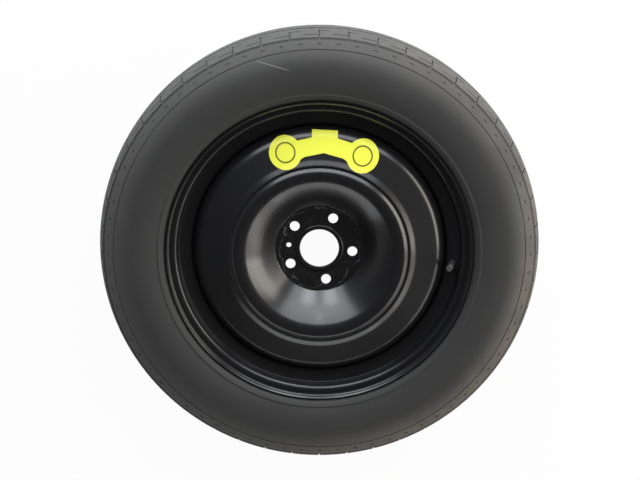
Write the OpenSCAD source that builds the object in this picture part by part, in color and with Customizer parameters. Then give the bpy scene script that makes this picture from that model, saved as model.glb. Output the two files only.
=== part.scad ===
// Space saver spare wheel: a black steel disc wheel with a narrow temporary-use tyre.
// The wheel lies on its inboard side. The origin is the centre of the hub mounting face,
// +Z points out of the face that shows when the wheel is on a car.

/* [Hub] */
// Diameter of the centre bore
hub_bore_d = 63.4; // [56:0.1:68]
// Diameter of the circle through the stud holes
stud_pcd = 108; // [100:0.5:112]
// Number of stud holes
stud_count = 5; // [4:1:6]
// Diameter of each stud hole
stud_hole_d = 16; // [12:0.5:18]
// Angle of the first stud hole, from +X
stud_angle = -6.4; // [-30:0.1:30]
// Included angle of the nut seat round each stud hole
nut_seat_angle = 60; // [50:1:90]
// Largest diameter of the nut seat
nut_seat_d = 20; // [19:0.5:24]
// Diameter of the small locating hole
locating_hole_d = 8.5; // [5:0.5:10]
// Radius at which the locating hole sits
locating_hole_r = 50; // [46:0.5:56]
// Angle of the locating hole, from +X
locating_hole_angle = 173.6; // [165:0.1:180]

/* [Disc] */
// Thickness of the pressed disc
disc_t = 4; // [3:0.1:4.2]
// Radius of the flat hub pad, to the start of the bowl
pad_r = 69; // [67:0.5:72]
// Slope of the bowl's wall, from the hub pad
bowl_slope = 45; // [43:1:48]
// Radius of the bend where the bowl's wall leaves the hub pad
bowl_bend = 5; // [4:0.5:8]
// Radius of the crest's flat top, where the bowl ends
crest_r = 131; // [129:0.5:133]
// Height of the crest above the mounting face
crest_z = 48.5; // [46:0.5:51]
// Depth of the ring groove outside the crest
groove_depth = 9.1; // [7:0.1:10]
// Slope of the disc's outer face, away from the groove
face_slope = 19; // [15:1:22]
// Radius of the bend from the outer face to the skirt
shoulder_bend_r = 28.8; // [22:0.2:32]
// Length of the skirt's straight part, inside the rim
skirt_len = 32; // [20:1:36]
// Height of the rolled lip round the bore
bore_lip_h = 1.2; // [0.6:0.1:2]
// Width of the rolled lip round the bore
bore_lip_w = 7.6; // [5:0.1:8]
// Height of the relief bosses between the studs
boss_h = 1; // [0.5:0.1:1.4]

/* [Rim] */
// Diameter of the bead seats, 18 inch nominal
bead_seat_d = 462; // [460:0.5:464]
// Width between the flanges, 4 inch nominal
rim_width = 101.6; // [98:0.2:112]
// Thickness of the rolled rim
rim_t = 2.5; // [2:0.1:2.8]
// Height of the flanges above the bead seat
flange_h = 16.5; // [15:0.1:17.5]
// Radius of the flange's rolled edge, on the tyre's side
flange_bend_r = 8.5; // [7.5:0.1:9]
// Depth of the well below the bead seat
well_depth = 24.5; // [24:0.1:26]
// Distance from the rim's middle plane to the mounting face, outward
wheel_offset = 21; // [17:0.5:24]

/* [Tyre] */
// Overall diameter of the tyre
tyre_d = 714; // [706:1:722]
// Greatest width of the tyre
tyre_w = 152; // [148:1:156]
// Drop of the crown from its middle to the tread's edge
crown_drop = 10.3; // [8:0.1:12]
// Half the width of the tread
tread_half_w = 61; // [58:0.5:63]
// Thickness of the tread and the casing under it
tread_t = 11.5; // [10:0.1:13]
// Thickness of the sidewall at its widest place
sidewall_t = 6.5; // [5:0.1:8]
// Number of tread blocks round each shoulder
block_count = 48; // [36:1:60]
// Number of wear dimples round each shoulder band
dimple_count = 72; // [48:1:90]
// Depth of the tread's narrow grooves
tread_groove_depth = 3; // [2:0.1:4]

/* [Valve] */
// Angle of the valve, from +X
valve_angle = -6.4; // [-30:0.1:30]
// Lean of the valve towards the axle, and of the rim wall that it is set in
valve_tilt = 14; // [12:0.5:16]
// Diameter of the valve hole in the rim
valve_hole_d = 11.5; // [11:0.1:12]
// Length of the rubber body outside the rim
valve_body_len = 21; // [18:0.5:24]
// Diameter of the threaded end of the stem
stem_d = 7.7; // [7.4:0.1:8]
// Length of the threaded end of the stem
stem_end_len = 10; // [9:0.5:12]
// Outer diameter of the cap
cap_d = 9.4; // [9.2:0.1:10.5]
// Length of the cap
cap_len = 13; // [12.5:0.5:15]

/* [Label] */
// Diameter of each round end of the label
label_disc_d = 52; // [46:1:54]
// Distance from the axle to the line through the round ends
label_y = 162; // [160:0.5:164]
// Distance between the centres of the round ends
label_span = 122; // [116:0.5:128]
// Angle of the label's middle, from +X
label_angle = 87.4; // [80:0.1:100]
// Thickness of the label
label_t = 0.3; // [0.1:0.05:0.5]

/* [Clearances] */
// Gap between the disc's skirt and the rim that it is pressed into
skirt_clear = 0.1; // [0.05:0.01:0.2]
// Gap between the tyre and the rim
bead_clear = 0.2; // [0.1:0.05:0.3]
// Gap between the stem's thread and the cap
cap_clear = 0.15; // [0.1:0.01:0.25]
// Gap between valve parts that seat on one another
seat_clear = 0.03; // [0.02:0.01:0.05]
// Gap between the valve's rubber and the rim wall
valve_clear = 0.08; // [0.05:0.01:0.1]
// Gap between the valve's pin and its guides
pin_clear = 0.08; // [0.05:0.01:0.1]
// Thickness of the adhesive under the label
glue_t = 0.05; // [0.02:0.01:0.1]

/* [Hidden] */
$fn = 96;
arc_step = 7;

// rolled profiles: [radius, height] points, with a bend radius at each corner
function unit(v) = v / norm(v);
function xy(p) = [p[0], p[1]];
function wrap(a) = a > 180 ? a - 360 : a < -180 ? a + 360 : a;
function bend(p, q, s) =
    let (u = unit(xy(p) - xy(q)),
         w = unit(xy(s) - xy(q)),
         half = acos(u * w) / 2,
         c = xy(q) + unit(u + w) * q[2] / sin(half),
         a = xy(q) + u * q[2] / tan(half) - c,
         b = xy(q) + w * q[2] / tan(half) - c,
         a0 = atan2(a[1], a[0]),
         da = wrap(atan2(b[1], b[0]) - a0),
         n = max(2, ceil(abs(da) / arc_step)))
    [for (i = [0:n]) c + q[2] * [cos(a0 + da * i / n), sin(a0 + da * i / n)]];
// length of a leg that a corner's bend takes, at most nine tenths of the shorter leg
function leg(v, i) = norm(xy(v[i + 1]) - xy(v[i]));
function bend_reach(v, i) =
    i == 0 || i == len(v) - 1 || !(v[i][2] > 0) ? 0 :
    let (u = unit(xy(v[i - 1]) - xy(v[i])), w = unit(xy(v[i + 1]) - xy(v[i])))
    min(v[i][2] / tan(acos(u * w) / 2), 0.9 * min(leg(v, i - 1), leg(v, i)));
// bends that would meet on the leg between them get smaller together
function fitted(v, i) =
    let (u = unit(xy(v[i - 1]) - xy(v[i])), w = unit(xy(v[i + 1]) - xy(v[i])),
         t = bend_reach(v, i),
         k = min(1, 0.97 * leg(v, i - 1) / (bend_reach(v, i - 1) + t),
                 0.97 * leg(v, i) / (t + bend_reach(v, i + 1))))
    [v[i][0], v[i][1], k * t * tan(acos(u * w) / 2)];
function rounded(v) =
    [xy(v[0]),
     for (i = [1:len(v) - 2])
         each v[i][2] > 0 ? bend(v[i - 1], fitted(v, i), v[i + 1]) : [xy(v[i])],
     xy(v[len(v) - 1])];
function reversed(v) = [for (i = [len(v) - 1:-1:0]) v[i]];
function mirrored(v) = [for (p = v) [p[0], -p[1]]];
function without_last(v) = [for (i = [0:len(v) - 2]) v[i]];
function side(p, q) = let (d = unit(q - p)) [-d[1], d[0]];
function shifted(v, d) =
    [for (i = [0:len(v) - 1])
        let (a = side(v[max(i - 1, 0)], v[max(i, 1)]),
             b = side(v[min(i, len(v) - 2)], v[min(i + 1, len(v) - 1)]),
             m = unit(a + b))
        v[i] + m * d / (m * a)];
module sheet_profile(path, from, to)
    polygon(concat(shifted(path, from), reversed(shifted(path, to))));
module revolve() rotate_extrude($fn = 180) children();

function arc(c, r, a0, a1) =
    [for (i = [0:ceil(abs(a1 - a0) / arc_step)])
        let (a = a0 + (a1 - a0) * i / ceil(abs(a1 - a0) / arc_step))
        c + r * [cos(a), sin(a)]];

// rim profile on the tyre's side, [radius, distance from the rim's middle plane]
seat_r = bead_seat_d / 2;
half_w = rim_width / 2;
seat_w = 18;
seat_taper = 5;
well_r = seat_r - well_depth;
wall_top = [seat_r - seat_w * tan(seat_taper), half_w - seat_w];
wall_low = [well_r, wall_top[1] - (wall_top[0] - well_r) * tan(valve_tilt)];
inner_wall_slope = 22;
inner_wall_low = [well_r, wall_top[1] - (wall_top[0] - well_r) * tan(inner_wall_slope)];
flange_c = [seat_r + flange_h - flange_bend_r, half_w + flange_bend_r];
flange_foot = [flange_c[0], half_w];
seat_corner = [seat_r, half_w, 6.5];
half_rim = concat(
    arc(flange_c, flange_bend_r, 50, -90),
    bend(flange_foot, seat_corner, wall_top),
    bend(seat_corner, [wall_top[0], wall_top[1], 4.5], wall_low));
rim_path = concat(
    half_rim,
    bend(wall_top, [wall_low[0], wall_low[1], 5], [well_r, 0]),
    mirrored(reversed(bend(wall_top, [inner_wall_low[0], inner_wall_low[1], 5], [well_r, 0]))),
    mirrored(reversed(half_rim)));

// disc profile on the side that shows, [radius, height above the mounting face]
knee_run = 29;
bend_gap = 1.2;
bowl_foot = [pad_r + bowl_bend * tan(bowl_slope / 2), disc_t, bowl_bend];
knee = [bowl_foot[0] + knee_run, bowl_foot[1] + knee_run * tan(bowl_slope)];
crest_foot = [crest_r - 7.5, crest_z];
knee_slope = atan2(crest_foot[1] - knee[1], crest_foot[0] - knee[0]);
crest_bend = min(31, 7.8 / tan(knee_slope / 2));
knee_room = norm(crest_foot - knee) - crest_bend * tan(knee_slope / 2) - bend_gap;
bowl_knee = [knee[0], knee[1], knee_room / tan((bowl_slope - knee_slope) / 2)];
crest_in = [crest_foot[0], crest_foot[1], crest_bend];
crest_out = [crest_r + 3.5, crest_z, 6];
groove_foot = [crest_r + 12.3, crest_z - groove_depth, 3];
face_peak = [crest_r + 18.3, crest_z - groove_depth + 5.8, 4.5];
face_foot = [crest_r + 27, crest_z - groove_depth + 1.1, 40];
skirt_r = well_r - rim_t - skirt_clear;
shoulder = [skirt_r, face_foot[1] - (skirt_r - face_foot[0]) * tan(face_slope), shoulder_bend_r];
skirt_end = shoulder[1] - shoulder_bend_r * tan((90 - face_slope) / 2) - skirt_len;
disc_path = rounded([
    [hub_bore_d / 2, disc_t], bowl_foot, bowl_knee, crest_in, crest_out,
    groove_foot, face_peak, face_foot, shoulder, [skirt_r, skirt_end]]);

// valve: its axis runs square to the rim's outboard wall, from the wall's outer face
valve_mid = (wall_top + wall_low) / 2 + rim_t * [-sin(valve_tilt), cos(valve_tilt)];
stem_end = valve_body_len + stem_end_len;
module at_valve()
    rotate([0, 0, valve_angle])
        translate([valve_mid[0], 0, valve_mid[1] - wheel_offset])
            rotate([0, -valve_tilt, 0])
                children();

// tyre profile, [radius, distance from the rim's middle plane]
tyre_r = tyre_d / 2;
tyre_half = tyre_w / 2;
toe_z = half_w - seat_w + 1;
bead_line = shifted(concat(
    arc(flange_c, flange_bend_r, 12, -90),
    bend(flange_foot, seat_corner, wall_top),
    [[seat_r - (half_w - toe_z) * tan(seat_taper), toe_z]]), bead_clear);
flange_top = seat_r + flange_h;
function crown(z) = tyre_r - crown_drop * pow(abs(z) / tread_half_w, 2.6);
main_groove_z = 17;
main_groove_w = 6;
main_groove_depth = 5.5;
function groove_points(z) =
    let (a = z + main_groove_w / 2, b = z - main_groove_w / 2)
    [[crown(a), a], [crown(a) - main_groove_depth, a - 0.8],
     [crown(b) - main_groove_depth, b + 0.8], [crown(b), b]];
shoulder_ring = [tyre_r - 28.6, tread_half_w + 6.8];
tread_edge = [tyre_r - crown_drop, tread_half_w];
guard_r = flange_top + 13;
belly = [(guard_r + shoulder_ring[0]) / 2, tyre_half + 4.5];
belly_bend = 90;
inner_belly_bend = 60;
inner_edge_z = tread_half_w - 19;
inner_edge_bend = 25;
inner_shoulder = [tyre_r - 26, tread_half_w - 0.5];
inner_shoulder_bend = 20;
half_outer = concat(
    without_last(reversed(bead_line)),
    rounded([
        bead_line[0],
        [flange_top + 5, tyre_half - 9.5, 2], [flange_top + 10, tyre_half - 6.7, 2.5],
        [guard_r, tyre_half - 7, 1.5], [belly[0], belly[1], belly_bend], shoulder_ring]),
    [shoulder_ring + [0.2, -1], shoulder_ring + [1.2, -1.3], shoulder_ring + [1.3, -0.2],
     tread_edge + [-1.6, 0.2], tread_edge + [-1.5, -1.2], tread_edge + [-0.3, -1.6]],
    [for (z = [tread_half_w - 2:-6:main_groove_z + 6]) [crown(z), z]],
    groove_points(main_groove_z),
    [for (z = [8, 0]) [crown(z), z]]);
half_inner = rounded([
    [wall_top[0] + 2.2, toe_z - 0.8],
    [seat_r + 7, toe_z + 0.8, 4], [seat_r + 21, half_w, 15],
    [belly[0], belly[1] - 0.8 - sidewall_t, inner_belly_bend],
    [inner_shoulder[0], inner_shoulder[1], inner_shoulder_bend],
    [tyre_r - tread_t - 0.7, inner_edge_z, inner_edge_bend], [tyre_r - tread_t, 0]]);

module tyre_body()
    polygon(concat(
        half_outer, mirrored(reversed(without_last(half_outer))),
        mirrored(half_inner), reversed(without_last(half_inner))));

// slots are cut square into the shoulder: height, length up the shoulder, length round it
separator_w = 2.2;
separator_low_z = 33;
dash_a_z = 36;
dash_b_z = 50;
dash_w = 1.8;
block_pitch = 360 / block_count;
function crown_slope(z) =
    atan(2.6 * crown_drop / tread_half_w * pow(z / tread_half_w, 1.6));
module shoulder_slot(z, up, round_len)
    translate([crown(z) - tread_groove_depth, 0, z])
        rotate([0, -crown_slope(z), 0])
            translate([0, -round_len / 2, -up / 2])
                cube([20, round_len, up]);
module shoulder_cuts() {
    for (i = [0:block_count - 1]) rotate([0, 0, 90 + block_pitch * i]) {
        shoulder_slot((tread_half_w + separator_low_z) / 2, 30.5, separator_w);
        rotate([0, 0, -block_pitch * 0.18]) shoulder_slot(dash_a_z, dash_w, 15);
        rotate([0, 0, -block_pitch * 0.72]) shoulder_slot(dash_b_z, dash_w, 24);
    }
    for (i = [0:dimple_count - 1]) rotate([0, 0, 360 / dimple_count * i])
        translate([(shoulder_ring[0] + tread_edge[0]) / 2, 0, tread_half_w + 3.4])
            rotate([0, 20.4, 0])
                translate([-1.4, -4, -1]) cube([2.8, 8, 6]);
}
module tyre()
    color([0.09, 0.09, 0.09])
        translate([0, 0, -wheel_offset])
            difference() {
                revolve() tyre_body();
                shoulder_cuts();
                mirror([0, 0, 1]) shoulder_cuts();
            }

module rim()
    color([0.12, 0.12, 0.13])
        difference() {
            translate([0, 0, -wheel_offset]) revolve() sheet_profile(rim_path, 0, -rim_t);
            at_valve() translate([0, 0, -rim_t - 3]) cylinder(d = valve_hole_d, h = rim_t + 6);
        }

// relief between two studs: pressed up on the side that shows, down on the hub's side
module relief() {
    low = 46;
    high = pad_r + 10;
    corners = [[low, -13, 7], [high, -27, 4], [high, 27, 4], [low, 13, 7]];
    polygon([
        for (i = [0:3]) each bend(corners[(i + 3) % 4], corners[i], corners[(i + 1) % 4])]);
}
module at_reliefs()
    for (i = [0:stud_count - 1])
        rotate([0, 0, stud_angle + 360 / stud_count * (i + 0.5)]) children();
module nut_hole() {
    seat_h = (nut_seat_d - stud_hole_d) / 2 / tan(nut_seat_angle / 2);
    translate([0, 0, -1]) cylinder(d = stud_hole_d, h = disc_t + 2);
    translate([0, 0, disc_t - seat_h])
        cylinder(d1 = stud_hole_d, d2 = nut_seat_d, h = seat_h);
    translate([0, 0, disc_t]) cylinder(d = nut_seat_d, h = 3);
}
module wheel_disc()
    color([0.12, 0.12, 0.13])
        difference() {
            union() {
                revolve() sheet_profile(disc_path, 0, -disc_t);
                revolve() polygon([
                    [hub_bore_d / 2, disc_t - 0.5], [hub_bore_d / 2 + bore_lip_w, disc_t - 0.5],
                    [hub_bore_d / 2 + bore_lip_w, disc_t],
                    [hub_bore_d / 2 + bore_lip_w - 2, disc_t + bore_lip_h],
                    [hub_bore_d / 2, disc_t + bore_lip_h]]);
                at_reliefs() translate([0, 0, disc_t - 0.3])
                    linear_extrude(boss_h + 0.3) relief();
            }
            at_reliefs() translate([0, 0, -1]) linear_extrude(boss_h + 1) relief();
            for (i = [0:stud_count - 1])
                rotate([0, 0, stud_angle + 360 / stud_count * i])
                    translate([stud_pcd / 2, 0, 0]) nut_hole();
            rotate([0, 0, locating_hole_angle]) translate([locating_hole_r, 0, -1])
                cylinder(d = locating_hole_d, h = disc_t + boss_h + 2);
        }

bead_count = 6;
bead_arc = 36;
module weld_beads()
    color([0.2, 0.2, 0.2])
        for (i = [0:bead_count - 1])
            rotate([0, 0, 360 / bead_count * i])
                translate([0, 0, skirt_end - seat_clear])
                    rotate_extrude(angle = bead_arc, $fn = 180) polygon([
                        [skirt_r - 3, 0], [skirt_r + skirt_clear - seat_clear, 0],
                        [skirt_r + skirt_clear - seat_clear, -4.5],
                        [skirt_r - 1.2, -3.3], [skirt_r - 2.4, -1.8]]);

// valve pieces, revolved about the valve's axis, [radius, height above the rim wall]
stem_root_r = 2.9;
core_r = 2.5;
barrel_r = 1.75;
barrel_end = valve_body_len - 1;
core_top = stem_end - 0.7;
seal_z = valve_body_len + 3.3;
chamber = [barrel_end + 1.2, core_top - 1.5];
pin_r = 0.5;
pin_collar = [chamber[1] - 1.3, chamber[1] - 0.8];
pin_travel = 1;
module valve_body()
    color([0.07, 0.07, 0.07])
        at_valve() revolve() polygon([
            [1.8, -rim_t - 3.5], [6.6, -rim_t - 3.5], [7.8, -rim_t - 2.1],
            [7.8, -rim_t - valve_clear], [valve_hole_d / 2 - valve_clear, -rim_t - valve_clear],
            [valve_hole_d / 2 - valve_clear, valve_clear], [6.7, valve_clear], [6.9, 1.2],
            [6.3, 3], [5.2, 12], [4.9, valve_body_len - 1], [4.5, valve_body_len],
            [stem_root_r, valve_body_len], [stem_root_r, -rim_t - 2.5], [1.8, -rim_t - 2.5]]);
module valve_stem()
    color([0.75, 0.6, 0.3])
        at_valve() revolve() polygon([
            [1.6, -rim_t - 2.5], [stem_root_r, -rim_t - 2.5], [stem_root_r, valve_body_len],
            [stem_d / 2, valve_body_len], [stem_d / 2, stem_end - 0.6],
            [stem_d / 2 - 0.4, stem_end], [core_r + 0.25, stem_end],
            [core_r + 0.1, stem_end - 0.3], [core_r + 0.1, seal_z + 1.2],
            [2.05, seal_z], [2.05, barrel_end - 4], [1.6, barrel_end - 4.5]]);
module core_body()
    color([0.7, 0.55, 0.25])
        at_valve() revolve() polygon([
            [pin_r + 0.4, barrel_end], [barrel_r, barrel_end],
            [barrel_r, seal_z + 1.6 + seat_clear], [core_r, seal_z + 1.6 + seat_clear],
            [core_r, core_top], [pin_r + pin_clear, core_top], [pin_r + pin_clear, chamber[1]],
            [1.3, chamber[1]], [1.3, chamber[0]], [pin_r + 0.4, chamber[0]]]);
module core_seal()
    color([0.85, 0.85, 0.8])
        at_valve() revolve() polygon([
            [barrel_r + seat_clear, seal_z - 0.7], [2.05 - seat_clear, seal_z - 0.7],
            [2.05 - seat_clear, seal_z], [2.55, seal_z + 1.2], [2.55, seal_z + 1.6],
            [barrel_r + seat_clear, seal_z + 1.6]]);
module core_pin()
    color([0.8, 0.8, 0.78])
        at_valve() revolve() polygon([
            [0, barrel_end - 2], [1.2, barrel_end - 2], [1.6, barrel_end - 1.5],
            [1.6, barrel_end - seat_clear], [pin_r, barrel_end - seat_clear],
            [pin_r, pin_collar[0]], [1.15, pin_collar[0]], [1.15, pin_collar[1]],
            [pin_r, pin_collar[1]], [pin_r, stem_end - 0.1], [pin_r - 0.1, stem_end],
            [0, stem_end]]);

spring_r = 1.02;
spring_wire_r = 0.13;
spring_turns = 5;
turn_steps = 14;
wire_sides = 6;
module core_spring() {
    low = chamber[0] + spring_wire_r + seat_clear;
    rise = pin_collar[0] - seat_clear - spring_wire_r - low;
    steps = spring_turns * turn_steps;
    points = [for (i = [0:steps], k = [0:wire_sides - 1])
        let (a = 360 * i / turn_steps, b = 360 * k / wire_sides,
             r = spring_r + spring_wire_r * cos(b))
        [r * cos(a), r * sin(a), low + rise * i / steps + spring_wire_r * sin(b)]];
    faces = concat(
        [[for (k = [0:wire_sides - 1]) k]],
        [for (i = [0:steps - 1], k = [0:wire_sides - 1])
            let (j = (k + 1) % wire_sides, p = i * wire_sides, q = p + wire_sides)
            [p + j, p + k, q + k, q + j]],
        [[for (k = [wire_sides - 1:-1:0]) steps * wire_sides + k]]);
    color([0.8, 0.8, 0.82]) at_valve() polyhedron(points, faces);
}

cap_low = valve_body_len + 0.15;
cap_top = cap_low + cap_len;
cap_in_r = stem_d / 2 + cap_clear;
module valve_cap()
    color([0.05, 0.05, 0.05])
        at_valve() difference() {
            revolve() polygon([
                [0, cap_top], [cap_d / 2 - 1, cap_top], [cap_d / 2 - 0.3, cap_top - 0.3],
                [cap_d / 2, cap_top - 1], [cap_d / 2, cap_low], [cap_in_r, cap_low],
                [cap_in_r, stem_end + 1], [0, stem_end + 1]]);
            for (i = [0:15]) rotate([0, 0, 22.5 * i])
                translate([cap_d / 2 + 0.15, 0, cap_low + 1.5])
                    cylinder(r = 0.4, h = cap_len - 4);
        }
module cap_seal()
    color([0.3, 0.1, 0.08])
        at_valve() translate([0, 0, stem_end + seat_clear])
            cylinder(r = cap_in_r - seat_clear, h = 1 - 2 * seat_clear);

// label: two round ends joined by a bent band, with a tab at the top
wing_top_angle = 132.5;
wing_foot_angle = -160.5;
module label_outline() {
    tab = 20.4;
    half = concat(
        [[tab, label_y + 36.5], [tab, label_y + 25.3]],
        arc([label_span / 2, label_y], label_disc_d / 2, wing_top_angle, wing_foot_angle),
        [[label_span / 2 - 30.6, label_y - 4.6]]);
    polygon(concat(
        half, [[0, label_y + 2.6]], [for (p = reversed(half)) [-p[0], p[1]]]));
}
module label()
    color([0.92, 0.93, 0.2])
        rotate([0, 0, label_angle - 90])
            intersection() {
                revolve() sheet_profile(disc_path, glue_t, glue_t + label_t);
                linear_extrude(crest_z + 5) label_outline();
            }

tyre();
rim();
wheel_disc();
weld_beads();
valve_body();
valve_stem();
core_body();
core_seal();
core_pin();
core_spring();
valve_cap();
cap_seal();
label();
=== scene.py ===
import math

import bpy
from mathutils import Matrix, Vector


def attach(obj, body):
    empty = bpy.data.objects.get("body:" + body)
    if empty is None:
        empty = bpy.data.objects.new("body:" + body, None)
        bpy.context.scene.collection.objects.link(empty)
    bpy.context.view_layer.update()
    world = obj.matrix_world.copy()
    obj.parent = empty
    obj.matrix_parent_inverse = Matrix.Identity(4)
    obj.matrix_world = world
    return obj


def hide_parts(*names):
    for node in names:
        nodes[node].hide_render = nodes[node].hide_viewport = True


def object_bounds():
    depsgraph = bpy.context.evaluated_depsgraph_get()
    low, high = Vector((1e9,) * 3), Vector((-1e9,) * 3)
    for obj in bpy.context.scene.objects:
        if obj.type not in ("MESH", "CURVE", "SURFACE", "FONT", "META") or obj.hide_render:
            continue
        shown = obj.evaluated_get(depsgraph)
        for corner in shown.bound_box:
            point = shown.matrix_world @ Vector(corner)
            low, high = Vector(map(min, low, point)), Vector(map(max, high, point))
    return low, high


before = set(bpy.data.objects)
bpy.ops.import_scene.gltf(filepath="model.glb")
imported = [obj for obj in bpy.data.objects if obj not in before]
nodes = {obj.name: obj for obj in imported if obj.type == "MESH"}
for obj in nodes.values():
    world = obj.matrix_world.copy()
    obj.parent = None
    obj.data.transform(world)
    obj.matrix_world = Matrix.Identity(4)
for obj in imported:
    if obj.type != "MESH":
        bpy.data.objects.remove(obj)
cadLow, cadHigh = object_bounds()
mm = 0.001

scene = bpy.context.scene
scene.view_settings.view_transform = "Standard"


# Helpers: lengths in millimetres, angles in degrees, profiles are [radius, height] points

def pick(obj):                            # selects one object and nothing else
    if bpy.context.mode != "OBJECT":
        bpy.ops.object.mode_set(mode="OBJECT")
    bpy.ops.object.select_all(action="DESELECT")
    obj.select_set(True)
    bpy.context.view_layer.objects.active = obj


def radians(angle):
    return angle * math.pi / 180


def polar(radius, angle):
    return radius * math.cos(radians(angle)), radius * math.sin(radians(angle))


def turned(x, y, angle):
    c, s = polar(1, angle)
    return x * c - y * s, x * s + y * c


def arcPoints(centre, radius, start, stop, step=2.0):
    count = max(2, math.ceil(abs(stop - start) / step))
    turns = [start + (stop - start) * i / count for i in range(count + 1)]
    return [(centre[0] + polar(radius, a)[0], centre[1] + polar(radius, a)[1]) for a in turns]


def bendPoints(before, corner, after, radius, step=2.0):
    p, q, s = Vector(before[:2]), Vector(corner[:2]), Vector(after[:2])
    u, w = (p - q).normalized(), (s - q).normalized()
    half = u.angle(w) / 2
    centre = q + (u + w).normalized() * radius / math.sin(half)
    a = q + u * radius / math.tan(half) - centre
    b = q + w * radius / math.tan(half) - centre
    start = math.degrees(math.atan2(a.y, a.x))
    turn = (math.degrees(math.atan2(b.y, b.x)) - start + 180) % 360 - 180
    return arcPoints(centre, radius, start, start + turn, step)


def roundedPath(corners, step=2.0):       # a corner's third number is the radius of its bend
    path = [tuple(corners[0][:2])]
    for before, corner, after in zip(corners, corners[1:], corners[2:]):
        path += bendPoints(before, corner, after, corner[2], step)
    return path + [tuple(corners[-1][:2])]


def sideOf(p, q):
    d = (Vector(q) - Vector(p)).normalized()
    return Vector((-d.y, d.x))


def shiftedPath(path, distance):          # a path beside another one
    moved = []
    last = len(path) - 1
    for i, point in enumerate(path):
        a = sideOf(path[max(i - 1, 0)], path[max(i, 1)])
        b = sideOf(path[min(i, last - 1)], path[min(i + 1, last)])
        m = (a + b).normalized()
        moved.append(tuple(Vector(point) + m * distance / m.dot(a)))
    return moved


def filledPath(path, gap):                # adds points where two lie further apart than gap
    filled = [path[0]]
    for p, q in zip(path, path[1:]):
        count = max(1, math.ceil((Vector(q) - Vector(p)).length / gap))
        filled += [tuple(Vector(p).lerp(Vector(q), i / count)) for i in range(1, count + 1)]
    return filled


def mirrored(path):                       # the same path on the inboard side
    return [(r, -z) for r, z in path]


def meshObject(name, points, edges, faces):
    mesh = bpy.data.meshes.new(name)
    mesh.from_pydata([(x * mm, y * mm, z * mm) for x, y, z in points], edges, faces)
    obj = bpy.data.objects.new(name, mesh)
    scene.collection.objects.link(obj)
    return obj


def spunPiece(name, outline, steps, closed=True):  # an outline turned once round the axle
    count = len(outline)
    edges = [(i, (i + 1) % count) for i in range(count if closed else count - 1)]
    obj = meshObject(name, [(r, 0, z) for r, z in outline], edges, [])
    pick(obj)
    bpy.ops.object.mode_set(mode="EDIT")
    bpy.ops.mesh.select_all(action="SELECT")
    bpy.ops.mesh.spin(steps=steps, angle=math.tau, center=(0, 0, 0), axis=(0, 0, 1))
    bpy.ops.mesh.select_all(action="SELECT")
    bpy.ops.mesh.remove_doubles(threshold=0.000004)
    bpy.ops.mesh.normals_make_consistent(inside=False)
    bpy.ops.object.mode_set(mode="OBJECT")
    return obj


def joined(objs, name):
    pick(objs[0])
    for obj in objs:
        obj.select_set(True)
    bpy.ops.object.join()
    objs[0].name = name
    bpy.ops.object.transform_apply(location=True, rotation=True, scale=True)
    return objs[0]


def carved(obj, cutter):                  # cuts a closed shape out and throws it away
    pick(obj)
    cut = obj.modifiers.new("cut", "BOOLEAN")
    cut.operation = "DIFFERENCE"
    cut.solver = "MANIFOLD"
    cut.object = cutter
    bpy.ops.object.modifier_apply(modifier=cut.name)
    bpy.data.objects.remove(cutter)
    return obj


def finished(obj, look, angle=40):        # one material all over, and smooth shading
    obj.data.materials.clear()
    obj.data.materials.append(look)
    for face in obj.data.polygons:
        face.material_index = 0
    pick(obj)
    bpy.ops.object.shade_smooth_by_angle(angle=radians(angle))
    return obj


# Materials

class Signal:                             # a node's output that can stand in a sum
    def __init__(self, look, socket):
        self.look = look
        self.socket = socket

    def sum(self, operation, *values):
        return self.look.node("ShaderNodeMath", dict(operation=operation), dict(enumerate(values)))

    def __add__(self, other):
        return self.sum("ADD", self, other)

    def __sub__(self, other):
        return self.sum("SUBTRACT", self, other)

    def __rsub__(self, other):
        return self.sum("SUBTRACT", other, self)

    def __mul__(self, other):
        return self.sum("MULTIPLY", self, other)

    def __truediv__(self, other):
        return self.sum("DIVIDE", self, other)

    def __pow__(self, other):
        return self.sum("POWER", self, other)

    __radd__ = __add__
    __rmul__ = __mul__

    def modulo(self, length):             # stays positive below zero
        return self.sum("WRAP", self, length, 0)

    def absolute(self):
        return self.sum("ABSOLUTE", self)

    def smooth(self, low, high):          # 0 at low, 1 at high
        kind = dict(interpolation_type="SMOOTHSTEP")
        return self.look.node("ShaderNodeMapRange", kind, {0: self, 1: low, 2: high})


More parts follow.
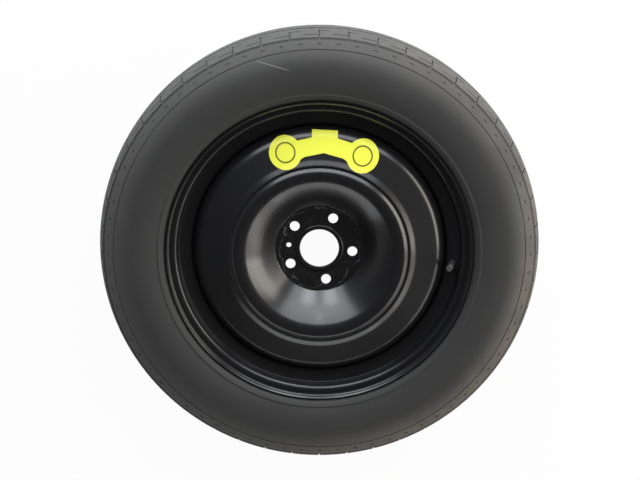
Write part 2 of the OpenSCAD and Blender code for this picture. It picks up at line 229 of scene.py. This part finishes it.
class Look:                               # a material, or the sky, and the nodes it is made of
    def __init__(self, name, kind=bpy.data.materials):
        self.owner = kind.new(name)
        self.owner.use_nodes = True
        self.tree = self.owner.node_tree
        self.shader = self.tree.nodes.get("Principled BSDF")

    def node(self, kind, settings=None, sockets=None, output=0):
        made = self.tree.nodes.new(kind)
        for key, value in (settings or {}).items():
            if key == "stops":
                for stop, (place, colour) in zip(made.color_ramp.elements, value):
                    stop.position = place
                    stop.color = (*colour, 1)
            else:
                setattr(made, key, value)
        for key, value in (sockets or {}).items():
            self.feed(value, made.inputs[key])
        return Signal(self, made.outputs[output])

    def feed(self, value, socket):
        if isinstance(value, Signal):
            self.tree.links.new(value.socket, socket)
        else:
            socket.default_value = value

    def parts(self, vector):              # the x, y and z of a vector
        split = self.node("ShaderNodeSeparateXYZ", sockets={0: vector})
        return [Signal(self, socket) for socket in split.socket.node.outputs]

    def place(self):                      # the object's own coordinates, in metres
        return self.node("ShaderNodeTexCoord", output=3)

    def radius(self):                     # distance from the axle
        x, y, z = self.parts(self.place())
        return (x * x + y * y) ** 0.5 * 1000

    def turn(self):                       # angle round the axle
        x, y, z = self.parts(self.place())
        return y.sum("ARCTAN2", y, x) * (180 / math.pi)

    def noise(self, scale, detail=2.0, roughness=0.5):
        sockets = {"Vector": self.place(), "Scale": scale, "Detail": detail, "Roughness": roughness}
        return self.node("ShaderNodeTexNoise", None, sockets)

    def blend(self, factor, a, b):        # a where the factor is 0, b where it is 1
        sockets = {0: factor}
        for key, colour in ((6, a), (7, b)):
            sockets[key] = colour if isinstance(colour, Signal) else (*colour, 1)
        return self.node("ShaderNodeMix", dict(data_type="RGBA"), sockets, 2)

    def bumped(self, height, distance):
        return self.node("ShaderNodeBump", None, {"Height": height, "Distance": distance})

    def set(self, **values):
        for key, value in values.items():
            value = (*value, 1) if isinstance(value, tuple) else value
            self.feed(value, self.shader.inputs[key.replace("_", " ")])
        return self.owner


# baked black enamel over pressed steel: scuffed on the hub pad, with a painted highlight as a
# lighter wavy ring along its edge
enamelFinish = dict(
    black=(0.008, 0.008, 0.009), scuff=(0.06, 0.06, 0.06), edgeHighlight=(0.16, 0.16, 0.16),
    roughness=0.38, coatRoughness=0.22, peel=0.00004, padR=(72, 60), edgeR=86, edgeWave=42)


def makeEnamel(name, scuffsAndHighlight, gloss):
    f = enamelFinish
    look = Look(name)
    r = look.radius()
    peel = look.noise(160, 2, 0.5)
    cloud = look.noise(14, 3, 0.6)
    specks = look.noise(900, 2, 0.5).smooth(0.68, 0.74)
    rubbed = look.noise(60, 5, 0.7).smooth(0.55, 0.75) * r.smooth(*f["padR"]) * scuffsAndHighlight
    # painted highlight: a lighter grey wavy ring along the hub pad's edge
    wave = look.noise(30, 3, 0.6) * f["edgeWave"]
    edge = (r + wave - f["edgeR"]).absolute().smooth(1.6, 0.2) * scuffsAndHighlight
    edge = edge * look.noise(70, 3, 0.6).smooth(0.4, 0.62)
    colour = look.blend(specks * 0.25 + rubbed * 0.3, f["black"], f["scuff"])
    colour = look.blend(edge * 0.6, colour, f["edgeHighlight"])
    return look.set(
        Base_Color=colour, Roughness=cloud * 0.10 + f["roughness"] + rubbed * 0.2,
        Specular_IOR_Level=0.1, Coat_Weight=gloss, Coat_Roughness=f["coatRoughness"],
        Normal=look.bumped(peel, f["peel"]))


def plainLook(name, colour, roughness, metallic=0.0, grain=900, depth=0.00002):
    look = Look(name)
    cloud = look.noise(grain, 3, 0.6)
    tint = look.blend(cloud * 0.5, colour, tuple(c * 0.7 for c in colour))
    return look.set(
        Base_Color=tint, Roughness=cloud * 0.15 + roughness, Metallic=metallic,
        Normal=look.bumped(cloud, depth))


# Disc

discSize = dict(
    boreR=31.7, sheet=4, padR=69, bowlBend=5, bowlSlope=45, kneeRun=29, bendGap=1.2,
    crestR=131, crestZ=48.5, crestIn=7.5, crestInBend=31, crestInRun=7.8,
    crestOut=4.4, crestOutBend=10.5, grooveOut=10.8, grooveDepth=5.1, grooveBend=2,
    peakOut=14.4, peakRise=1.6, peakBend=2.5, faceOut=23.5, faceDrop=4.9, faceBend=24,
    faceSlope=19, skirtR=203.9, shoulderBend=26, skirtLength=34, lipHeight=1.2, lipWidth=7.6,
    studCircle=108, studs=5, studR=8, seatR=10, seatSlope=60, studAngle=-6.4,
    locatingR=50, locatingAngle=173.6, locatingHoleR=4.25,
    reliefHeight=1.0, reliefStart=46, reliefHalf=10.6, reliefFlare=0.76, reliefEdge=3.2)


def discPath(step):                       # the side that shows, from the bore to the skirt's end
    d = discSize
    footR = d["padR"] + d["bowlBend"] * math.tan(radians(d["bowlSlope"] / 2))
    knee = (footR + d["kneeRun"], d["sheet"] + d["kneeRun"] * math.tan(radians(d["bowlSlope"])))
    crestFoot = (d["crestR"] - d["crestIn"], d["crestZ"])
    rise, run = crestFoot[1] - knee[1], crestFoot[0] - knee[0]
    slope = math.atan2(rise, run)
    crestBend = min(d["crestInBend"], d["crestInRun"] / math.tan(slope / 2))
    room = math.hypot(rise, run) - crestBend * math.tan(slope / 2) - d["bendGap"]
    kneeBend = room / math.tan((radians(d["bowlSlope"]) - slope) / 2)
    grooveZ = d["crestZ"] - d["grooveDepth"]
    peakZ = grooveZ + d["peakRise"]
    faceFoot = (d["crestR"] + d["faceOut"], peakZ - d["faceDrop"])
    shoulderZ = faceFoot[1] - (d["skirtR"] - faceFoot[0]) * math.tan(radians(d["faceSlope"]))
    bendDrop = d["shoulderBend"] * math.tan(radians((90 - d["faceSlope"]) / 2))
    return roundedPath([
        (d["boreR"], d["sheet"]), (footR, d["sheet"], d["bowlBend"]), (*knee, kneeBend),
        (*crestFoot, crestBend), (d["crestR"] + d["crestOut"], d["crestZ"], d["crestOutBend"]),
        (d["crestR"] + d["grooveOut"], grooveZ, d["grooveBend"]),
        (d["crestR"] + d["peakOut"], peakZ, d["peakBend"]), (*faceFoot, d["faceBend"]),
        (d["skirtR"], shoulderZ, d["shoulderBend"]),
        (d["skirtR"], shoulderZ - bendDrop - d["skirtLength"])], step)


def reliefHeightAt(r, angle):             # floor raised between two studs, up to the bowl's wall
    d = discSize
    pitch = 360 / d["studs"]
    off = abs((angle - d["studAngle"]) % pitch - pitch / 2)
    across = math.sin(radians(off)) * r
    width = d["reliefHalf"] + (r - d["reliefStart"]) * d["reliefFlare"]
    side = max(0.0, min(1.0, (width - across) / d["reliefEdge"] + 0.5))
    start = max(0.0, min(1.0, (r - d["reliefStart"]) / d["reliefEdge"] + 0.5))
    inside = min(side, start)
    along = min(max(r - d["padR"], 0), d["bowlBend"])
    wallRise = d["bowlBend"] - math.sqrt(d["bowlBend"] ** 2 - along ** 2)
    return max(0.0, d["reliefHeight"] * (3 * inside ** 2 - 2 * inside ** 3) - wallRise)


def lipPath():                            # the raised ring round the bore
    d = discSize
    inner, outer, top = d["boreR"], d["boreR"] + d["lipWidth"], d["sheet"] + d["lipHeight"]
    return roundedPath([
        (inner, 1.0), (inner, top, 0.9), (outer - 2, top, 1.2), (outer, d["sheet"], 1.0),
        (outer + 1, d["sheet"])], 12)


def holeCutter(x, y, r, mouthR, z):       # a straight hole that opens in a cone to its mouth
    seat = (mouthR - r) * math.tan(radians(discSize["seatSlope"]))
    profile = [(0, -6), (r, -6), (r, z - seat), (mouthR, z), (mouthR, z + 3), (0, z + 3)]
    cutter = spunPiece("hole", profile, 64, closed=False)
    bpy.ops.object.mode_set(mode="EDIT")
    bpy.ops.mesh.select_all(action="SELECT")
    bpy.ops.transform.translate(value=(x * mm, y * mm, 0))
    bpy.ops.object.mode_set(mode="OBJECT")
    return cutter


def makeDisc():
    d = discSize
    path = discPath(3)
    wallR = d["padR"] + 7                 # finer up to here, for the reliefs
    top = filledPath([p for p in path if p[0] < wallR], 1.4)
    top += filledPath([p for p in path if p[0] >= wallR], 4.5)
    top = [p for p in top if p[0] > d["boreR"] + d["lipWidth"] or p[1] < 0]
    under = filledPath(shiftedPath(discPath(7), -d["sheet"]), 9)
    disc = spunPiece("discSkin", lipPath() + top + under[::-1], 288)
    for vertex in disc.data.vertices:
        x, y, z = vertex.co
        r = math.hypot(x, y) / mm
        if 40 < r < wallR - 1:
            vertex.co.z += reliefHeightAt(r, math.degrees(math.atan2(y, x))) * mm
    holes = []
    for i in range(d["studs"]):
        x, y = polar(d["studCircle"] / 2, d["studAngle"] + 360 / d["studs"] * i)
        holes.append(holeCutter(x, y, d["studR"], d["seatR"], d["sheet"]))
    x, y = polar(d["locatingR"], d["locatingAngle"])
    r = d["locatingHoleR"]
    holes.append(holeCutter(x, y, r, r + 0.4, d["sheet"] + d["reliefHeight"]))
    disc = carved(disc, joined(holes, "holes"))
    return finished(disc, makeEnamel("discEnamel", 1.0, 1.0))


disc = makeDisc()
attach(disc, "wheel")
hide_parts("wheel_disc")
print("disc ready")


# Rim

rimSize = dict(
    seatR=231, halfWidth=50.8, seatWidth=18, taper=5, wellR=206.5, wallLean=14,
    innerWallLean=22, flangeR=247.5, flangeBend=8.5, flangeEnd=50, heelBend=6.5, humpBend=4.5,
    wellBend=5, sheet=2.5, offset=21)


def lowered(path):                        # from the rim's middle plane to the hub's face
    return [(r, z - rimSize["offset"]) for r, z in path]


def rimCorners():                         # the flange's centre, the seat's heel and the seat's end
    d = rimSize
    flangeC = (d["flangeR"] - d["flangeBend"], d["halfWidth"] + d["flangeBend"])
    seatEndR = d["seatR"] - d["seatWidth"] * math.tan(radians(d["taper"]))
    return flangeC, (d["seatR"], d["halfWidth"]), (seatEndR, d["halfWidth"] - d["seatWidth"])


def wallEnd(lean):                        # where the wall from the seat's end meets the well
    seatEnd = rimCorners()[2]
    drop = seatEnd[0] - rimSize["wellR"]
    return rimSize["wellR"], seatEnd[1] - drop * math.tan(radians(lean))


def halfRim(lean, step):
    d = rimSize
    flangeC, heel, seatEnd = rimCorners()
    return (arcPoints(flangeC, d["flangeBend"], d["flangeEnd"], -90, step)
            + bendPoints((flangeC[0], d["halfWidth"]), heel, seatEnd, d["heelBend"], step)
            + bendPoints(heel, seatEnd, wallEnd(lean), d["humpBend"], step)
            + bendPoints(seatEnd, wallEnd(lean), (d["wellR"], 0), d["wellBend"], step))


valveSize = dict(angle=-6.4, holeR=5.75, bodyLength=21, stemR=3.85, stemLength=10,
                 capR=4.7, capLength=13, gap=0.15, ribs=32, ribDepth=0.22)


def standValve(obj):                      # turns a piece made upright into the valve's place
    d = rimSize
    seatEnd, foot = rimCorners()[2], wallEnd(d["wallLean"])
    c, s = polar(d["sheet"], d["wallLean"])
    r, z = (seatEnd[0] + foot[0]) / 2 - s, (seatEnd[1] + foot[1]) / 2 + c - d["offset"]
    for vertex in obj.data.vertices:
        x, y, h = vertex.co
        x, h = turned(x, h, d["wallLean"])
        x, y = turned(x + r * mm, y, valveSize["angle"])
        vertex.co = (x, y, h + z * mm)
    return obj


def makeRim():
    d = rimSize
    path = halfRim(d["wallLean"], 6) + mirrored(halfRim(d["innerWallLean"], 6))[::-1]
    path = filledPath(path, 12)
    outline = lowered(path) + lowered(shiftedPath(path, -d["sheet"]))[::-1]
    rim = spunPiece("rimSkin", outline, 240)
    bpy.ops.mesh.primitive_cylinder_add(
        vertices=48, radius=valveSize["holeR"] * mm, depth=12 * mm, location=(0, 0, 0))
    rim = carved(rim, standValve(bpy.context.active_object))
    return finished(rim, makeEnamel("rimEnamel", 0.0, 0.7))


rim = makeRim()
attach(rim, "wheel")
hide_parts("rim")
print("rim ready")


# Tyre

tyreSize = dict(
    radius=357, halfWidth=76, crownDrop=10.3, crownPower=2.6, treadHalf=61, treadThick=11.5,
    sideThick=6.5, bellyR=294.45, bellyOut=4.5, bellyBend=90, innerBellyBend=60, beadGap=0.2,
    ringIn=28.6, ringOut=6.8, blocks=48, slotDepth=3, grooveZ=17, grooveWidth=6, grooveDepth=5.5,
    separatorLow=33, separatorLength=30.5, separatorWidth=2.2, dashWidth=1.8,
    dashes=((36, 15, 0.18), (50, 24, 0.72)),  # height, length, place in the block
    dimples=72, dimpleLean=20.4)

# tyre rubber: matt, lighter towards the shoulders from wear and painted sheen, with painted warm
# light on the right, painted shade in the grooves, a scratch, and painted highlights in the gaps
# between blocks
rubberFinish = dict(
    black=(0.027, 0.027, 0.027), wornAndLit=(0.12, 0.117, 0.113), sideLightTint=(0.165, 0.14, 0.112),
    shadedUnworn=(0.012, 0.012, 0.012), rubbed=(0.26, 0.26, 0.27), grain=0.00006, roughness=0.62,
    shoulderR=(296, 345), scratchAt=(-71.5, 304.5), scratchAngle=-15.3)


def makeRubber():
    t, f = tyreSize, rubberFinish
    look = Look("tyreRubber")
    x, y, z = look.parts(look.place())
    r = look.radius()
    broad = look.noise(9, 4, 0.6)
    fine = look.noise(420, 3, 0.6)
    grit = look.noise(1400, 2, 0.5)
    # lighter grey towards the shoulders: worn rubber and painted sheen
    shoulder = r.smooth(*f["shoulderR"])
    colour = look.blend(shoulder * 0.55 + broad * 0.12, f["black"], f["wornAndLit"])
    # painted light: a patchy warm lighter tone on the right side of the shoulders, where the side
    # lamp falls
    side = (x * 1.6 - y * 0.5).smooth(-0.15, 0.6)
    sideLight = shoulder * side * broad.smooth(0.35, 0.7)
    colour = look.blend(sideLight * 0.6, colour, f["sideLightTint"])

    # darker in the grooves: painted shade, and blacker unworn rubber
    across = ((z * 1000 + rimSize["offset"]) / t["treadHalf"]).absolute()
    crown = t["radius"] - across ** t["crownPower"] * t["crownDrop"]
    deep = (crown - r).smooth(0.4, 2.0) * across.smooth(1.02, 1.0)
    colour = look.blend(deep * 0.9, colour, f["shadedUnworn"])
    # painted highlight: pale lines on the floors of the slots between blocks, where the slot's side
    # catches light
    pitch = 360 / t["blocks"]
    gap = (look.turn() - 90 + pitch / 2).modulo(pitch) - pitch / 2
    gapHighlight = gap.absolute().smooth(0.26, 0.17) * deep * across.smooth(0.5, 0.56)
    colour = look.blend(gapHighlight * 0.8, colour, f["wornAndLit"])

    c, s = polar(1, f["scratchAngle"])
    u, v = x * 1000 - f["scratchAt"][0], y * 1000 - f["scratchAt"][1]
    along, aside = (u * c + v * s).absolute(), (v * c - u * s).absolute()
    scratch = aside.smooth(1.5, 0.2) * along.smooth(30, 18) * broad.smooth(0.3, 0.5)
    colour = look.blend(scratch * z.smooth(0, 0.01) * 0.45, colour, f["rubbed"])
    return look.set(
        Base_Color=colour, Roughness=broad * 0.12 + f["roughness"] - shoulder * 0.06,
        Specular_IOR_Level=0.4, Normal=look.bumped(fine * 0.6 + grit * 0.4, f["grain"]))


def crownR(z):
    t = tyreSize
    return t["radius"] - t["crownDrop"] * (abs(z) / t["treadHalf"]) ** t["crownPower"]


def crownSlope(z):
    t = tyreSize
    steepness = t["crownPower"] * t["crownDrop"] / t["treadHalf"]
    across = (abs(z) / t["treadHalf"]) ** (t["crownPower"] - 1)
    return math.copysign(math.degrees(math.atan(steepness * across)), z)


def outerSide():                          # from the bead's toe over the sidewall to the crown
    t, d = tyreSize, rimSize
    half, edge = t["halfWidth"], t["treadHalf"]
    flangeC, heel, seatEnd = rimCorners()
    toeZ = seatEnd[1] + 1
    toe = (d["seatR"] - (d["halfWidth"] - toeZ) * math.tan(radians(d["taper"])), toeZ)
    bead = shiftedPath(
        arcPoints(flangeC, d["flangeBend"], 12, -90, 4)
        + bendPoints((flangeC[0], d["halfWidth"]), heel, seatEnd, d["heelBend"], 6) + [toe],
        t["beadGap"])
    ring = (t["radius"] - t["ringIn"], edge + t["ringOut"])
    rim = (t["radius"] - t["crownDrop"], edge)
    side = roundedPath([
        bead[0], (d["flangeR"] + 5, half - 9.5, 2), (d["flangeR"] + 10, half - 6.7, 2.5),
        (d["flangeR"] + 13, half - 7, 1.5), (t["bellyR"], half + t["bellyOut"], t["bellyBend"]),
        ring], 3)
    notches = [(ring[0] + a, ring[1] + b) for a, b in ((0.2, -1), (1.2, -1.3), (1.3, -0.2))]
    notches += [(rim[0] + a, rim[1] + b) for a, b in ((-1.6, 0.2), (-1.5, -1.2), (-0.3, -1.6))]
    return bead[::-1] + filledPath(side, 6)[1:] + notches


def innerSide():
    t, d = tyreSize, rimSize
    seatEnd = rimCorners()[2]
    half, edge, toeZ = t["halfWidth"], t["treadHalf"], seatEnd[1] + 1
    return roundedPath([
        (seatEnd[0] + 2.2, toeZ - 0.8), (d["seatR"] + 7, toeZ + 0.8, 4),
        (d["seatR"] + 21, d["halfWidth"], 15),
        (t["bellyR"], half + 3.7 - t["sideThick"], t["innerBellyBend"]),
        (t["radius"] - 26, edge - 0.5, 20), (t["radius"] - t["treadThick"] - 0.7, 42, 25),
        (t["radius"] - t["treadThick"], 5)], 8)


def tyreOutline():
    t = tyreSize
    a, b = t["grooveZ"] + t["grooveWidth"] / 2, t["grooveZ"] - t["grooveWidth"] / 2
    crown = [(crownR(z), z) for z in range(int(t["treadHalf"]) - 2, int(t["grooveZ"]) + 5, -2)]
    groove = [(crownR(a), a), (crownR(a) - t["grooveDepth"], a - 0.8),
              (crownR(b) - t["grooveDepth"], b + 0.8), (crownR(b), b)]
    outer = outerSide() + crown + groove + [(crownR(z), z) for z in (10, 6, 3)]
    inner = innerSide()
    return lowered(outer + mirrored(outer)[::-1] + mirrored(inner) + inner[::-1])


def slotCutter(z, up, around, angle):     # a box that stands in the tread, at right angles to it
    bpy.ops.mesh.primitive_cube_add(size=1, location=(0, 0, 0))
    slot = bpy.context.active_object
    for vertex in slot.data.vertices:
        x, h = turned((vertex.co.x + 0.5) * 20, vertex.co.z * up, crownSlope(z))
        x, y = turned(x + crownR(z) - tyreSize["slotDepth"], vertex.co.y * around, angle)
        vertex.co = Vector((x, y, h + z - rimSize["offset"])) * mm
    return slot


def dimpleCutter(side, angle):            # a small pocket in the shoulder band
    t = tyreSize
    bpy.ops.mesh.primitive_cube_add(size=1, location=(0, 0, 0))
    dimple = bpy.context.active_object
    r = t["radius"] - (t["ringIn"] + t["crownDrop"]) / 2
    for vertex in dimple.data.vertices:
        taper = 1 if vertex.co.z > 0 else 0.7
        x, h = turned(vertex.co.x * 2.8 * taper, vertex.co.z * 6 + 2, -t["dimpleLean"])
        x, y = turned(x + r, vertex.co.y * 8 * taper, angle)
        vertex.co = Vector((x, y, side * (h + t["treadHalf"] + 3.4) - rimSize["offset"])) * mm
    if side < 0:
        dimple.data.flip_normals()
    return dimple


def makeTyre():
    t = tyreSize
    tyre = spunPiece("tyreSkin", tyreOutline(), 288)
    cutters = []
    pitch = 360 / t["blocks"]
    middle = (t["treadHalf"] + t["separatorLow"]) / 2
    for side in (1, -1):
        for i in range(t["blocks"]):
            angle = 90 + pitch * i
            cutters.append(
                slotCutter(side * middle, t["separatorLength"], t["separatorWidth"], angle))
            for z, length, place in t["dashes"]:
                cutters.append(slotCutter(side * z, t["dashWidth"], length, angle - pitch * place))
        for i in range(t["dimples"]):
            cutters.append(dimpleCutter(side, 360 / t["dimples"] * i))
    print("tyre cutters", len(cutters))
    tyre = carved(tyre, joined(cutters, "cutters"))
    return finished(tyre, makeRubber(), 35)


tyre = makeTyre()
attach(tyre, "wheel")
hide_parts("tyre")
print("tyre ready")


# Valve: the rubber and the brass keep their solids, the cap gets its fine ribs

def makeCap():
    v = valveSize
    low = v["bodyLength"] + v["gap"]
    top = low + v["capLength"]
    inside, roof = v["stemR"] + v["gap"], v["bodyLength"] + v["stemLength"] + 1
    outline = roundedPath([
        (0.0, top - 0.1), (v["capR"] - 2.4, top - 0.1, 0.5), (v["capR"] - 2.2, top, 0.1),
        (v["capR"], top, 0.9), (v["capR"], low + 1.4, 0.3), (v["capR"] - 0.12, low, 0.2),
        (inside, low, 0.1), (inside, roof, 0.1), (0.0, roof)], 15)
    cap = spunPiece("capSkin", filledPath(outline, 2), 128, closed=False)
    for vertex in cap.data.vertices:      # grip ribs round the side
        x, y, h = vertex.co / mm
        r = math.hypot(x, y)
        if r > v["capR"] - 0.25 and low + 1.5 < h < top - 1.2:
            dent = v["ribDepth"] * (0.5 - 0.5 * math.cos(v["ribs"] * math.atan2(y, x)))
            vertex.co.x *= 1 - dent / r
            vertex.co.y *= 1 - dent / r
    return finished(standValve(cap), plainLook("capPlastic", (0.07, 0.07, 0.071), 0.42))


cap = makeCap()
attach(cap, "cap")
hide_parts("valve_cap")

nodeLooks = dict(
    weld_beads=plainLook("paintedWeld", (0.012, 0.012, 0.013), 0.35, grain=260, depth=0.0008),
    valve_body=plainLook("valveRubber", (0.016, 0.016, 0.016), 0.6, grain=1200, depth=0.00003),
    valve_stem=plainLook("stemBrass", (0.62, 0.47, 0.22), 0.3, 1.0),
    core_body=plainLook("coreBrass", (0.66, 0.5, 0.24), 0.3, 1.0),
    core_seal=plainLook("sealPlastic", (0.75, 0.75, 0.7), 0.5),
    core_pin=plainLook("pinBrass", (0.68, 0.58, 0.36), 0.28, 1.0),
    core_spring=plainLook("springSteel", (0.55, 0.55, 0.56), 0.3, 1.0),
    cap_seal=plainLook("capSealRubber", (0.06, 0.02, 0.016), 0.6))
for name, look in nodeLooks.items():
    nodes[name].data.materials.clear()
    nodes[name].data.materials.append(look)
print("valve ready")


# Label: a thin vinyl sheet that lies on the disc's outer face

labelSize = dict(
    discR=26, y=162, span=122, angle=87.4, tabHalf=20.4, tabTop=36.5, tabFoot=25.3, vRise=2.6,
    wingTop=132.5, wingFoot=-160.5, cornerIn=30.6, cornerDrop=4.6, thick=0.22, lift=0.08,
    slice=2, faceFrom=144)
vinylFinish = dict(
    yellow=(0.70, 0.725, 0.05), faded=(0.95, 0.97, 0.2), ink=(0.09, 0.075, 0.01), ringR=15)


def faceHeight(path, r):                  # height of the disc's outer face at a radius
    for (r0, z0), (r1, z1) in zip(path, path[1:]):
        if r0 <= r <= r1 and r > labelSize["faceFrom"] and r1 > r0:
            return z0 + (z1 - z0) * (r - r0) / (r1 - r0)
    return path[-1][1]


def labelOutline():
    s = labelSize
    centre = (s["span"] / 2, s["y"])
    half = [(s["tabHalf"], s["y"] + s["tabTop"]), (s["tabHalf"], s["y"] + s["tabFoot"])]
    half += arcPoints(centre, s["discR"], s["wingTop"], s["wingFoot"], 5)
    half.append((centre[0] - s["cornerIn"], s["y"] - s["cornerDrop"]))
    return half + [(0, s["y"] + s["vRise"])] + [(-x, y) for x, y in half[::-1]]


def makeVinyl():
    f = vinylFinish
    look = Look("labelVinyl")
    x, y, z = look.parts(look.node("ShaderNodeUVMap", dict(uv_map="flat")))
    fade = look.noise(30, 3, 0.6)
    off = x.absolute() - labelSize["span"] / 2
    ringR = (off * off + y * y) ** 0.5
    ring = (ringR - f["ringR"]).absolute().smooth(1.5, 1.0)
    colour = look.blend(fade * 0.12, f["yellow"], f["faded"])
    colour = look.blend(ring * 0.95, colour, f["ink"])
    return look.set(
        Base_Color=colour, Roughness=fade * 0.1 + 0.38, Specular_IOR_Level=0.4,
        Normal=look.bumped(look.noise(200, 2), 0.00003))


def makeLabel():
    s = labelSize
    outline = labelOutline()
    face = list(range(len(outline)))
    label = meshObject("labelSkin", [(x, y, 0) for x, y in outline], [], [face])
    pick(label)
    bpy.ops.object.mode_set(mode="EDIT")
    nudge = 0.0003                        # in metres, keeps the cuts off the outline's corners
    low = s["y"] - s["discR"] - 1
    cuts = [((i * s["slice"] * mm + nudge, 0, 0), (1, 0, 0)) for i in range(-43, 44)]
    cuts += [((0, (low + i * s["slice"]) * mm + nudge, 0), (0, 1, 0)) for i in range(34)]
    for place, normal in cuts:            # slices across, then up, so that it can bend
        bpy.ops.mesh.select_all(action="SELECT")
        bpy.ops.mesh.bisect(plane_co=place, plane_no=normal)
    bpy.ops.mesh.select_all(action="SELECT")
    bpy.ops.mesh.normals_make_consistent(inside=False)
    bpy.ops.object.mode_set(mode="OBJECT")
    flat = label.data.uv_layers.new(name="flat")
    for loop in label.data.loops:
        x, y, z = label.data.vertices[loop.vertex_index].co
        flat.data[loop.index].uv = (x / mm, y / mm - s["y"])
    path = discPath(1.5)
    for vertex in label.data.vertices:
        x, y, z = vertex.co / mm
        z = faceHeight(path, math.hypot(x, y)) + s["lift"]
        vertex.co = Vector((*turned(x, y, s["angle"] - 90), z)) * mm
    if label.data.polygons[0].normal.z < 0:
        label.data.flip_normals()
    wall = label.modifiers.new("thickness", "SOLIDIFY")
    wall.thickness = s["thick"] * mm
    wall.offset = 1
    pick(label)
    bpy.ops.object.modifier_apply(modifier=wall.name)
    return finished(label, makeVinyl(), 30)


label = makeLabel()
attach(label, "wheel")
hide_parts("label")
print("label ready")


# Floor, light and camera

studio = dict(floorZ=cadLow[2], floorGlow=0.955, skyHorizon=(0.16, 0.4), skyTop=(0.42, 0.08),
              lampDistance=3.0)

lamps = [                                 # azimuth, elevation, size in metres, brightness, colour
    ("topLeftLamp", 110, 28, (1.95, 1.8), 4.6, (0.93, 0.96, 1.0)),
    ("topRightLamp", 68, 28, (2.15, 1.8), 4.6, (0.93, 0.96, 1.0)),
    ("lowLeftLamp", 106, 13.5, (0.9, 0.5), 12.5, (0.93, 0.96, 1.0)),
    ("lowRightLamp", 74, 13.5, (0.9, 0.5), 12.5, (0.93, 0.96, 1.0)),
    ("sideLamp", 10, 23.5, (2.3, 1.1), 6.4, (1.0, 0.95, 0.86)),
    ("farSideLamp", -28, 22, (2.2, 1.0), 1.8, (1.0, 0.96, 0.9)),
    ("frontLamp", 262, 14, (4.2, 0.85), 2.0, (0.97, 0.98, 1.0)),
    ("frontRightLamp", 318, 14, (2.6, 0.85), 1.8, (1.0, 0.98, 0.95))]

cameraPlace = dict(distance=2400, tilt=15.42, focal=1474.6, width=640, offX=-0.63, offY=7.59)


def makeCamera():
    c = cameraPlace
    flat, rise = polar(1, c["tilt"])
    back, up = Vector((0, rise, flat)), Vector((0, flat, -rise))
    right = up.cross(back)
    aim = -back + up * c["offY"] / c["focal"] - right * c["offX"] / c["focal"]
    data = bpy.data.cameras.new("camera")
    data.sensor_width = 36
    data.lens = data.sensor_width * c["focal"] / c["width"]
    data.clip_start, data.clip_end = 0.05, 100
    camera = bpy.data.objects.new("camera", data)
    scene.collection.objects.link(camera)
    camera.location = back * c["distance"] * mm
    side = aim.cross(up).normalized()
    facing = Matrix((side, side.cross(aim).normalized(), -aim.normalized())).transposed()
    camera.rotation_euler = facing.to_euler()
    scene.camera = camera


def makeFloor():                          # white to the camera, and it keeps the shadow
    bpy.ops.mesh.primitive_plane_add(size=30, location=(0, 0, studio["floorZ"]))
    floor = bpy.context.active_object
    floor.name = "floor"
    look = Look("floorPaper")
    look.set(Base_Color=(0.8, 0.8, 0.8), Roughness=0.9)
    seen = look.node("ShaderNodeLightPath", output="Is Camera Ray") * studio["floorGlow"]
    glow = look.node("ShaderNodeEmission", None, {"Color": (1, 1, 1, 1), "Strength": 1.0})
    paper = Signal(look, look.shader.outputs[0])
    both = look.node("ShaderNodeMixShader", None, {0: seen, 1: paper, 2: glow})
    look.feed(both, look.tree.nodes["Material Output"].inputs[0])
    floor.data.materials.append(look.owner)


def makeSky():                            # bright near the horizon, dim above, white to the camera
    look = Look("studioSky", bpy.data.worlds)
    scene.world = look.owner
    height = look.parts(look.node("ShaderNodeTexCoord"))[2]
    stops = [(place, [grey] * 3) for place, grey in (studio["skyHorizon"], studio["skyTop"])]
    ramp = look.node("ShaderNodeValToRGB", dict(stops=stops), {0: height})
    ramp.socket.node.color_ramp.interpolation = "EASE"
    seen = look.node("ShaderNodeLightPath", output="Is Camera Ray")
    look.feed(look.blend(seen, ramp, (1, 1, 1)), look.tree.nodes["Background"].inputs[0])


def makeLamp(name, azimuth, elevation, size, brightness, colour):
    flat, rise = polar(studio["lampDistance"], elevation)
    data = bpy.data.lights.new(name, "AREA")
    data.shape = "RECTANGLE"
    data.size, data.size_y = size
    data.energy = brightness * math.pi * size[0] * size[1]
    data.color = colour
    lamp = bpy.data.objects.new(name, data)
    scene.collection.objects.link(lamp)
    lamp.location = (*polar(flat, azimuth), rise)
    lamp.rotation_euler = (-lamp.location).to_track_quat("-Z", "Y").to_euler()


makeCamera()
makeFloor()
makeSky()
for lamp in lamps:
    makeLamp(*lamp)
print("stage ready")
